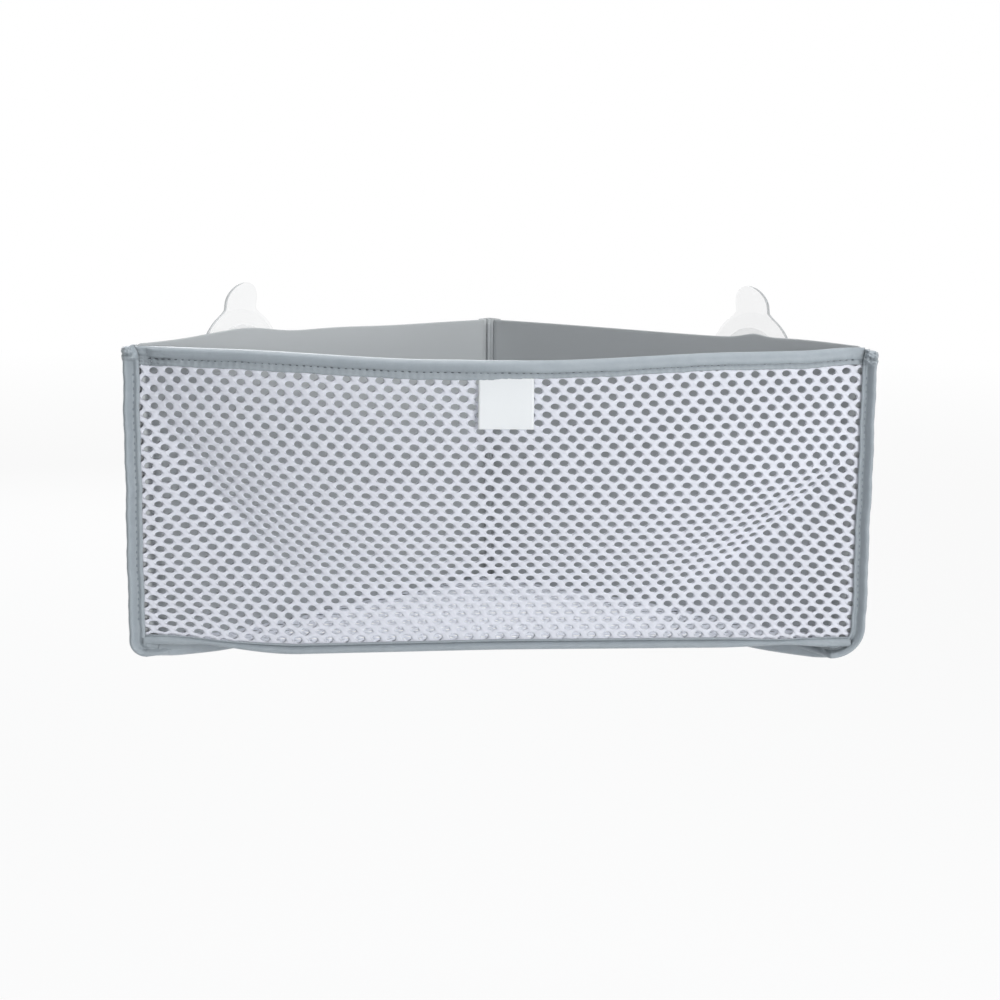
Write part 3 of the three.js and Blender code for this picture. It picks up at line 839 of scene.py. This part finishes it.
def add_front_floor_tape():
    x = np.linspace(-rim_half - 3, rim_half + 3, 240)
    line = smooth_line(FRONT_FLOOR_LINE)
    forward, up = ribbon(line, TAPE).T
    level = net_low + front_lift(x)
    slim = 1 - SLIM * ramp(np.abs(x), SLIM_FROM, SLIM_OVER)
    puff = slim * (1 + 0.12 * ripple(x, 0.7))
    hang = by_side(FLAP, x) * ramp(np.abs(x), FLAP_FROM, FLAP_OVER)
    in_front = forward > 0
    sections = []
    for a, b, s, t, drop in zip(x, level, puff, slim, hang):
        rise = np.where(in_front, (up + ROLL_FOOT) * t - ROLL_FOOT, up)
        rise -= drop * ramp(-up, -3.4, 3)
        puffed = np.minimum(forward, FLOOR_FLANGE) + np.maximum(forward - FLOOR_FLANGE, 0) * s
        out = np.where(in_front, puffed, forward) + in_front * 0.2 * drop * crumple(a, rise)
        sections.append(at(a, net_middle - out, b + rise))
    add_tape("floor_front_tape", sections, "front_floor_binding")
    seam = at(x, net_middle + UNDER_SEAM, level - UNDER_DROP - TAPE / 2 - hang)
    add_seam("floor_front_stitches", "front_floor_thread", seam, SEAM_MARGIN, -UP)


CORNER_FLANGE = {-1: 2.7, 1: 2.1}
CORNER_STEPS = 3
GROOVE_POINT = 3  # the point of a corner's line that lies in the groove
CORNER_LEG_LINE = [  # run along the panel, lift off it and share of the swell
    (-0.6, 1.75, 1.0), (1.8, 1.6, 1.0), (4.0, 1.2, 0.5), (4.8, 0.75, 0.0), (6.6, 0.8, 0.0),
]
CORNER_TUCK = 34.0  # a corner tape runs on this far under the panel
TUCK_OUT = 3.0  # and comes out and up this far there, while its leg sinks into the panel
TUCK_UP = 2.4
LEG_SINK = 2.8
CAP_HEIGHT = 9.5  # folded end of a corner tape
CAP_SWELL = 0.9
CAP_CRUMPLE = {-1: 0.5, 1: 0.9}
LEG_DROP = 1.8  # the cap's end on the panel lies this much lower
CAP_CURL = {-1: 2.2, 1: 1.0}  # the cap's inner edge leans out this far at the top
cap_high = corner_high + 0.7
BACK = np.array([-1.0, 1.0]) / ROOT2  # along the right wall to the back corner, in plan
OUTWARD = np.array([1.0, 1.0]) / ROOT2


def corner_line(side, swell, cap):
    """Middle of the right corner tape's section: flange on the net, groove, roll and leg on the panel.
    In the cap at the top, one puff takes the place of flange, groove and roll."""
    face = net_front - FIT - TAPE / 2
    inner, nose = CORNER_INNER[side], CORNER_NOSE[side]
    groove = inner + CORNER_FLANGE[side]
    roll = nose - groove
    line = []
    for x, sewn, puffed in (
        (inner, 0.0, 0.9), (inner + 1.4, 0.25, 2.2), (groove - 0.7, 0.0, 2.9), (groove + 0.3, -0.3, 3.2),
        (groove + roll * 0.27, 0.2, 3.4), (groove + roll * 0.56, 1.9, 3.2), (groove + roll * 0.83, 2.8, 2.6),
    ):
        lift = sewn + (puffed - sewn) * cap
        line.append((x, face - lift - swell * max(lift, 0) / 3))
    line.append((nose + swell / 2, face + 0.3))
    corner = np.array([FRONT_HALF, panel_end])
    for run, lift, share in CORNER_LEG_LINE:
        line.append(corner + BACK * run + OUTWARD * (lift + swell * share))
    return smooth_line(line, CORNER_STEPS)


def corner_points(side, plan, z, turn, tuck):
    """Places of a plan line of the right corner at a height, at a turn under the bin from there
    and at a run on along the panel's lower edge; mirrored for the left corner."""
    radius = CORNER_ROUND[side]
    nose = np.array([CORNER_NOSE[side], net_front - FIT - TAPE / 2 + 0.3])
    on_panel = ramp(plan[:, 1:], nose[1] - 1.5, 3)
    inward = np.array([-1.0, 0.0]) * (1 - on_panel) + BACK * on_panel
    arm = radius - ((plan - nose) * inward).sum(axis=1)
    spots = plan + inward * (arm * (1 - math.cos(turn)))[:, None] + BACK * tuck
    sunk = ramp(tuck, 2, CORNER_TUCK - 3)
    spots += OUTWARD * (1 - on_panel) * (0.5 * (radius - 10) * ramp(tuck, 0, 10) + TUCK_OUT * sunk)
    spots -= OUTWARD * on_panel * LEG_SINK * ramp(tuck, 0, 2)
    end = -ROOT2 * panel_end - PANEL_REAR - radius
    dip = foot_dip(side, end - tuck) - foot_dip(side, end)
    near_top = ramp(z, cap_high - CAP_HEIGHT, CAP_HEIGHT)
    fall = corner_drop(plan[:, 0]) + LEG_DROP * ramp(plan[:, 1], panel_end, 4)
    height = z - arm * math.sin(turn) - dip + TUCK_UP * sunk - fall * near_top
    return at(spots[:, 0] * side, spots[:, 1], height)


def add_corner(name, side):
    cap_low = cap_high - CAP_HEIGHT
    centre = CORNER_FOOT[side] + CORNER_ROUND[side]
    stations = [(centre, math.pi / 2, tuck) for tuck in np.linspace(CORNER_TUCK, 1, 22)]
    stations += [(centre, turn, 0.0) for turn in np.linspace(math.pi / 2, 0, 16)]
    heights = np.concatenate([
        np.linspace(centre + 2, cap_low - 1.2, 60), np.linspace(cap_low - 0.5, cap_high - 0.8, 18),
        [cap_high - 0.3, cap_high],
    ])
    stations += [(z, 0.0, 0.0) for z in heights]
    sections, lines = [], []
    for z, turn, tuck in stations:
        in_cap = ramp(z, cap_low - 0.4, 0.9)
        fold = abs(math.sin(2 * math.pi * (cap_high - z) / CAP_HEIGHT))
        waved = 0.2 * ripple(3.1 * z + 8 * turn + tuck, 2.0 * side)
        swell = in_cap * (0.25 + CAP_SWELL * fold) + waved - 1.3 * ramp(turn, 0, 1.5)
        line = corner_line(side, swell, ramp(z, cap_low - 1, 3))
        line[:, 0] -= 0.4 * ripple(2.2 * z, side + 0.5) * (1 - in_cap)
        curl = CAP_CURL[side] * ramp(z, cap_low, CAP_HEIGHT) ** 2
        line[:, 0] += curl * ramp(-line[:, 0], -CORNER_NOSE[side], 8) * (line[:, 1] < panel_end)
        loop = ribbon(line, TAPE)
        middle = corner_points(side, line, z, turn, tuck)
        ring = corner_points(side, loop, z, turn, tuck)
        rough = in_cap * CAP_CRUMPLE[side] + 0.35 * ramp(turn, 0.7, 0.8)
        rough *= loop[:, 1] < panel_end
        ring[:, 1] -= rough * crumple(ring[:, 0], ring[:, 2])
        lines.append(middle)
        sections.append(ring)
    add_tape(name + "_corner_tape", sections, name + "_corner_binding")
    sewn = slice(40, -20)  # above the turn and below the cap
    seam = np.array(lines)[sewn, CORNER_STEPS * GROOVE_POINT] + FORWARD * (TAPE / 2 - STITCH_SUNK)
    add_seam(name + "_corner_stitches", name + "_corner_thread", seam, SEAM_MARGIN / 2, FORWARD)
    add_corner_cap(name, lines[-1], lines[-5])


def add_corner_cap(name, edge, below):
    """The folded end of the tape that closes the top of a corner."""
    middle = edge.mean(axis=0)
    rings = [below, edge + [0, 0, -0.2]]
    for share, rise in ((0.9, 0.3), (0.6, 0.7), (0.2, 0.9)):
        rings.append(middle + (edge - middle) * share + [0, 0, rise])
    lofted(name + "_corner_cap", rings, SATIN, "grey_tape")


SIDE_SEAM_OUT = 1.35
SIDE_SEAM_UP = 3.6
FLANGE_UP = 2.6
TIP_FROM = 0.93  # share of the length where the front tip starts to flatten


def off_wall(side):
    return np.array([side, 1.0, 0.0]) / ROOT2


def add_side_floor_tape(name, side):
    thick = PANEL_FRONT - PANEL_REAR
    flange_from = thick + 1.3
    line = smooth_line([
        (-0.8, FLOOR_LEG + 0.8), (-SIDE_SEAM_OUT, SIDE_SEAM_UP), (-1.2, 1.0), (0.6, -0.9), (thick / 2, -1.3),
        (thick + 0.2, -0.9), (thick + 1.4, 0.6), (thick + 1.6, 1.9), (thick + 2.8, FLANGE_UP),
        (thick + 5.0, FLANGE_UP), (thick + UNDER_LEG, FLANGE_UP),
    ])
    inward, up = ribbon(line, TAPE).T
    off = PANEL_REAR + inward
    end = -ROOT2 * (net_rear + 2.5) - off
    on_floor = ramp(inward, flange_from, 1.5)
    sections = []
    for share in np.linspace(0, 1, 80):
        along = off + share * (end - off)
        tip = ramp(share, TIP_FROM, 1 - TIP_FROM)
        across = np.where(inward < 0, inward * (1 - 0.7 * tip), inward)
        spots = on_wall(side, along, PANEL_REAR + across, 0.0)
        rounded = corner_cut(side, end + 4 - along)
        hung = panel_low - foot_dip(side, along) + up * (1 - 0.4 * tip) + 0.6 * tip + rounded
        under_net = floor_height(spots[:, 0], spots[:, 1]) - NET / 2 - TAPE + up - FLANGE_UP
        spots[:, 2] = hung + (under_net - hung) * on_floor
        sections.append(spots)
    add_tape(name + "_floor_tape", sections, name + "_floor_binding")
    share = np.linspace(0.02, 0.94, 60)
    stitch_off = PANEL_REAR - SIDE_SEAM_OUT - TAPE / 2
    along = stitch_off + share * (-ROOT2 * net_middle - 2 * stitch_off)
    seam = on_wall(side, along, stitch_off, panel_low - foot_dip(side, along) + SIDE_SEAM_UP)
    add_seam(name + "_floor_stitches", name + "_floor_thread", seam, 2.0, off_wall(side))


BACK_SEAMS = [  # piece, node, place off the walls, and section: runs along the walls with steps to the rear
    ("back_seam_outer_tape", "back_seam_tape", PANEL_REAR, [
        (-9, 0.75), (-5, 1.35), (-2, 1.65), (0, 1.65), (2, 1.65), (5, 1.35), (9, 0.75),
    ]),
    ("back_seam_inner_tape", "inner_seam_tape", PANEL_FRONT, [
        (-9, 1.6), (-6.4, 1.6), (-4.8, 2.4), (-3.6, 3.6), (-2.2, 3.8), (-1.4, 2.4), (-0.9, 0.8), (0.6, 0.3),
        (2.4, 0.5), (3.4, 1.6), (7, 2.2),
    ]),
]


def add_back_seam():
    """The tapes over the seam of the panels: flat outside, sunk and raised in the gap inside."""
    heights = np.linspace(panel_low + 1, panel_high + 0.9, 40)
    for name, node, off, path in BACK_SEAMS:
        corner = np.array([0.0, -ROOT2 * off])
        line = smooth_line([corner + np.array([run, -abs(run)]) / ROOT2 + [0, back] for run, back in path])
        loop = ribbon(line, TAPE)
        sections = [at(*loop.T, z) for z in heights]
        add_tape(name, sections, node, FABRIC)


# Panels
PANEL_CROWN = 0.5
PANEL_SWAY = 0.35


def add_panel(name, side):
    middle = (PANEL_REAR + PANEL_FRONT) / 2
    half = (PANEL_FRONT - PANEL_REAR) / 2
    heights = np.linspace(0, PANEL_HEIGHT - TOP_SLOPE - 1.6, 32)
    top = smooth_line([(half, -1.0), (half - 0.15, -0.3), (half - 0.7, 0.0), (0.0, -TOP_SLOPE / 2),
                       (-half + 0.8, -TOP_SLOPE), (-half, -TOP_SLOPE - 0.9)], 3)
    outline = [(half, h) for h in heights]
    outline += [(across, PANEL_HEIGHT + drop) for across, drop in top]
    outline += [(-half, h) for h in heights[::-1]]
    across, height = np.array(outline).T
    climb = height / PANEL_HEIGHT
    off = middle + across
    start = off + SEAM_GAP[side]
    end = -ROOT2 * panel_end - off
    shares = np.concatenate([np.linspace(0, 0.95, 96), np.linspace(0.954, 1, 16)])
    sections = []
    for share in shares:
        along = start + share * (end - start)
        free = np.sin(np.pi * share)
        crown = PANEL_CROWN * np.sin(np.pi * np.clip(climb, 0, 1)) * free * np.sign(across)
        sway = PANEL_SWAY * np.sin(along * 0.05 + 2.2 * climb + side) * np.sin(height * 0.04) * free
        lift = climb * (top_rise(along) + panel_humps(side, along))
        lift += (1 - climb) * corner_cut(side, end - along)
        # The rear stays clear of the hooks
        puff = np.where(across > 0, crown + sway, np.maximum(crown + sway, 0))
        spots = on_wall(side, along, off + puff, panel_low + height + lift)
        spots[:, 2] -= foot_dip(side, along) * (1 - climb) ** 2 + corner_drop(spots[:, 0]) * climb**6
        sections.append(spots)
    nodes = (name + "_panel_fabric", name + "_panel_foam")
    piece = lofted(name + "_panel_pad", sections, FABRIC, "grey_fabric", *nodes)


# Label
LABEL_WIDTH = 27.4
LABEL_HEIGHT = 25.0
LABEL_CENTRE = 1.0
LABEL_LAYER = 0.35
LABEL_SEWN = 3.0  # of each end under the tape
LABEL_CURL = 0.5
LABEL_HANG = [
    (0.3, LABEL_SEWN), (0.45, 0.3), (1.2, -5.0), (1.7, -13.0), (1.85, -20.0), (1.7, -23.6),
    (1.35, -LABEL_HEIGHT), (0.85, -23.8), (0.9, -20.0), (0.85, -13.0), (0.6, -5.0),
    (0.1, 0.3), (-0.05, LABEL_SEWN),
]


def add_label():
    """A folded woven tag, bare, that hangs from under the rim's tape."""
    high = float(rim_height(LABEL_CENTRE)) - RIM_LEG
    loop = ribbon(smooth_line(LABEL_HANG, 5), LABEL_LAYER)
    sections = []
    for across in np.linspace(-LABEL_WIDTH / 2, LABEL_WIDTH / 2, 24):
        x = LABEL_CENTRE + across
        z = high + loop[:, 1]
        curl = LABEL_CURL * (across / (LABEL_WIDTH / 2)) ** 2 * np.clip(-loop[:, 1] / LABEL_HEIGHT, 0, 1)
        sections.append(at(x, front_y(x, z) - loop[:, 0] - NET / 2 - curl, z))
    piece = new_piece("label_fold", *loft(sections), LABEL, loft_uv(sections)[:, ::-1])
    dress(piece, "bin", "pale_label", "label_tag")


# Straps on the rear of the panels
STRAP = 1.2
STRAP_WIDTH = 14.0
STRAP_REAR = 4.3
STRAP_FLAT = 11.0
STRAP_SLOPE = 8.0
STRAP_END = 11.0
TACK_STITCHES = 15
TACK_INSET = 2.0
TACK_SLANT = 0.45
TACK_LENGTH = 2.4
TACK_RADIUS = 0.34


def add_strap(name, side):
    near = PANEL_REAR - FIT - STRAP / 2
    far = STRAP_REAR + STRAP / 2
    foot = STRAP_FLAT + STRAP_SLOPE
    half = [
        (foot + STRAP_END, near), (foot + 5, near), (foot, near - 0.2), (STRAP_FLAT + 2, far + 0.5),
        (STRAP_FLAT - 3, far),
    ]
    line = smooth_line([(-a, b) for a, b in half] + [(0, far - 0.1)] + half[::-1], 5)
    loop = ribbon(line, STRAP)
    centre = np.vstack([line, line[::-1]])
    edge = [0.0, 0.05, 0.12, 0.3, 0.5, 0.7, 0.88, 0.95, 1.0]
    thin = [0.5, 0.85, 1.0, 1.0, 1.0, 1.0, 1.0, 0.85, 0.5]
    sections = []
    for share, keep in zip(edge, thin):
        ring = centre + (loop - centre) * keep
        sections.append(on_wall(side, PAD_ALONG + ring[:, 0], ring[:, 1], strap_low + share * STRAP_WIDTH))
    piece = lofted(name + "_strap_webbing", sections, WEBBING, "grey_webbing", name + "_strap")
    for end, way in (("rear", -1), ("front", 1)):
        add_bar_tack(name, side, end, PAD_ALONG + way * (foot + STRAP_END / 2), near)


def add_bar_tack(name, side, end, along, near):
    """A dense zigzag of thread across the strap."""
    z = np.linspace(strap_low + TACK_INSET, strap_low + STRAP_WIDTH - TACK_INSET, TACK_STITCHES)
    spots = on_wall(side, along, near - STRAP / 2 - 0.1, z)
    slant = np.where(np.arange(TACK_STITCHES) % 2, TACK_SLANT, -TACK_SLANT)[:, None]
    ways = unit(np.array([side, -1.0, 0.0]) / ROOT2 + slant * UP)
    normals = np.repeat([off_wall(side)], TACK_STITCHES, axis=0)
    stitches = stitch_row(spots, ways, normals, TACK_LENGTH, TACK_RADIUS)
    add_thread(f"{name}_tack_{end}", f"{name}_strap_tack_{end}", stitches)


# Wall pads
PAD_RADIUS = 27.0
TAB_RADIUS = 11.0
TAB_RISE = 29.5
TAB_LEAN = 5.0
NECK_ROUND = 5.0
FILM_REAR = 1.1
FILM_THICK = 1.0
FILM_BEVEL = 0.45
FILM_RIM = 1.4  # width of the band at the cut edge that is painted grey as a line of shade, on the film's front side
TONGUE_FROM = PAD_RADIUS * 0.5
LEAN_FROM = PAD_RADIUS * 0.85


def pad_half_width(rise):
    """Half the width of a wall film at a height over its centre: a disc and a tongue with a soft neck."""
    disc = np.sqrt(np.maximum(PAD_RADIUS**2 - rise**2, 0))
    over = np.maximum(rise - TAB_RISE, 0)
    tongue = np.sqrt(np.maximum(TAB_RADIUS**2 - over**2, 0))
    blend = np.clip(0.5 + (disc - tongue) / (2 * NECK_ROUND), 0, 1)
    joint = tongue + (disc - tongue) * blend + NECK_ROUND * blend * (1 - blend)
    return np.where(rise < TONGUE_FROM, disc, np.where(over > 0, tongue, joint))


def add_film(name, side):
    """A clear disc with a pull tab that leans off the wall; the cut edge on its front side is painted grey
    and less clear, a painted shade for the line that a clear edge shows.
    """
    top = TAB_RISE + TAB_RADIUS
    turn = np.linspace(0, math.pi / 2, 20)
    rises = np.concatenate([
        -PAD_RADIUS * np.cos(turn), np.linspace(0, TAB_RISE, 40)[1:-1], TAB_RISE + TAB_RADIUS * np.sin(turn),
    ])
    rises[0] += 0.02
    rises[-1] -= 0.02
    sections = []
    for rise in rises:
        wide = float(pad_half_width(rise))
        lean = TAB_LEAN * max(0.0, (rise - LEAN_FROM) / (top - LEAN_FROM)) ** 2
        inner = wide - min(FILM_RIM, wide * 0.4)
        rear, front = FILM_REAR + lean, FILM_REAR + FILM_THICK + lean
        across = np.array([-wide, -inner, 0, inner, wide, wide, inner, 0, -inner, -wide])
        bevel = FILM_BEVEL * np.array([1, 0, 0, 0, 1])
        depth = np.concatenate([rear + bevel, front - bevel])
        sections.append(on_wall(side, PAD_ALONG + across, depth, pad_height + rise))
    piece = new_piece(name + "_clear_film", *loft(sections), FILM)
    piece.data.materials.append(FILM_EDGE_SHADE)
    ring = len(sections[0])
    # faces of the front side's cut edge take the painted shade
    for face in piece.data.polygons:
        face.material_index = int(face.index % ring in (3, 4, 5))
    dress(piece, "wall_hooks", "clear_film", name + "_wall_film")


def paint_nodes():
    """The rigid wall pieces whose shape is already right keep it, in clear plastic."""
    for name in SIDES:
        for node, material in ((name + "_hook", HOOK), (name + "_wall_glue", GLUE)):
            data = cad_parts[node].data
            data.materials.clear()
            data.materials.append(material)


# Stage, light and camera
STAGE_DROP = 0.30
STAGE_SIZE = 60.0
STAGE_FADE = 4.0  # the floor's own shade fades to plain white over this distance
STAGE_SHADE = 0.15
WORLD_LIGHT = 0.08
CAMERA_PLACE = (-0.042, -1.2042, 0.2695)
CAMERA_PITCH = 10.53
CAMERA_YAW = -2.38
CAMERA_ROLL = 0.62
CAMERA_LENS = 72.0
LIT_PLACE = (0.0, -0.12, 0.08)
LIGHTS = [  # name, place, size, watts and colour
    ("key", (1.25, -1.7, 0.55), 0.8, 25, (0.99, 0.995, 1.0)),
    ("fill", (-0.8, -1.95, 0.6), 0.8, 6.5, (0.97, 0.985, 1.0)),
    ("top", (0.0, 0.05, 1.6), 1.2, 20, (0.97, 0.985, 1.0)),
    ("rear", (-0.5, 1.9, 0.7), 1.2, 12, (0.97, 0.985, 1.0)),
]


def seen_rays(nodes):
    """1 for rays that show the background: from the camera, in a reflection or through clear plastic."""
    path = nodes.node("ShaderNodeLightPath").outputs
    glossy = nodes.math("MAXIMUM", path["Is Camera Ray"], path["Is Glossy Ray"])
    return nodes.math("MAXIMUM", glossy, path["Is Transmission Ray"])


def mixed_output(nodes, kind, share, first, second):
    """Links a mix of two shaders to a new output node."""
    mix = nodes.node("ShaderNodeMixShader")
    for socket, out in zip(mix.inputs, (share, first.outputs[0], second.outputs[0])):
        nodes.give(socket, out)
    nodes.node(kind, Surface=mix.outputs[0])


def add_stage():
    bpy.ops.mesh.primitive_plane_add(size=STAGE_SIZE, location=(0, 0, -STAGE_DROP))
    ground = bpy.context.object
    ground.name = "stage_floor"
    material = bpy.data.materials.new("stage_white")
    material.use_nodes = True
    nodes = Nodes(material.node_tree)
    nodes.tree.nodes.clear()
    paper = nodes.node("ShaderNodeBsdfDiffuse", Color=(0.9, 0.9, 0.9, 1))
    glow = nodes.node("ShaderNodeEmission")
    place = nodes.scaled(nodes.object_place(), (1 / STAGE_FADE, 1 / STAGE_FADE, 1))
    near = nodes.node("ShaderNodeTexGradient", Vector=place)
    near.gradient_type = "SPHERICAL"
    white = nodes.math("SUBTRACT", 1.0, nodes.math("MULTIPLY", near.outputs["Fac"], STAGE_SHADE))
    share = nodes.math("MULTIPLY", seen_rays(nodes), white)
    mixed_output(nodes, "ShaderNodeOutputMaterial", share, paper, glow)
    ground.data.materials.append(material)


def add_light(name, place, size, watts, colour):
    """A square soft light that faces the object."""
    lamp = bpy.data.lights.new(name, "AREA")
    lamp.energy = watts
    lamp.size = size
    lamp.color = colour
    holder = new_object(name, lamp)
    holder.location = place
    way = np.array(LIT_PLACE) - np.array(place)
    holder.rotation_euler = (math.atan2(math.hypot(way[0], way[1]), -way[2]), 0, math.atan2(-way[0], way[1]))


def add_world():
    world = bpy.data.worlds.new("studio")
    bpy.context.scene.world = world
    world.use_nodes = True
    nodes = Nodes(world.node_tree)
    nodes.tree.nodes.clear()
    soft = nodes.node("ShaderNodeBackground", Color=(0.95, 0.97, 1.0, 1), Strength=WORLD_LIGHT)
    white = nodes.node("ShaderNodeBackground", Color=(1, 1, 1, 1))
    mixed_output(nodes, "ShaderNodeOutputWorld", seen_rays(nodes), soft, white)


def add_camera():
    lens = bpy.data.cameras.new("photo_view")
    lens.lens = CAMERA_LENS
    lens.sensor_width = 36.0
    lens.clip_end = 100.0
    camera = new_object("photo_view", lens)
    camera.location = CAMERA_PLACE
    camera.rotation_euler = (math.radians(90 - CAMERA_PITCH), 0, math.radians(CAMERA_YAW))
    camera.rotation_euler.rotate_axis("Z", math.radians(CAMERA_ROLL))
    bpy.context.scene.camera = camera


add_front_net()
add_floor_net()
add_rim()
add_front_floor_tape()
add_back_seam()
add_label()
for side_name, side_sign in SIDES.items():
    add_panel(side_name, side_sign)
    add_corner(side_name, side_sign)
    add_side_floor_tape(side_name, side_sign)
    add_strap(side_name, side_sign)
    add_film(side_name, side_sign)
paint_nodes()
add_stage()
for light in LIGHTS:
    add_light(*light)
add_world()
add_camera()
bpy.context.scene.view_settings.view_transform = "Standard"
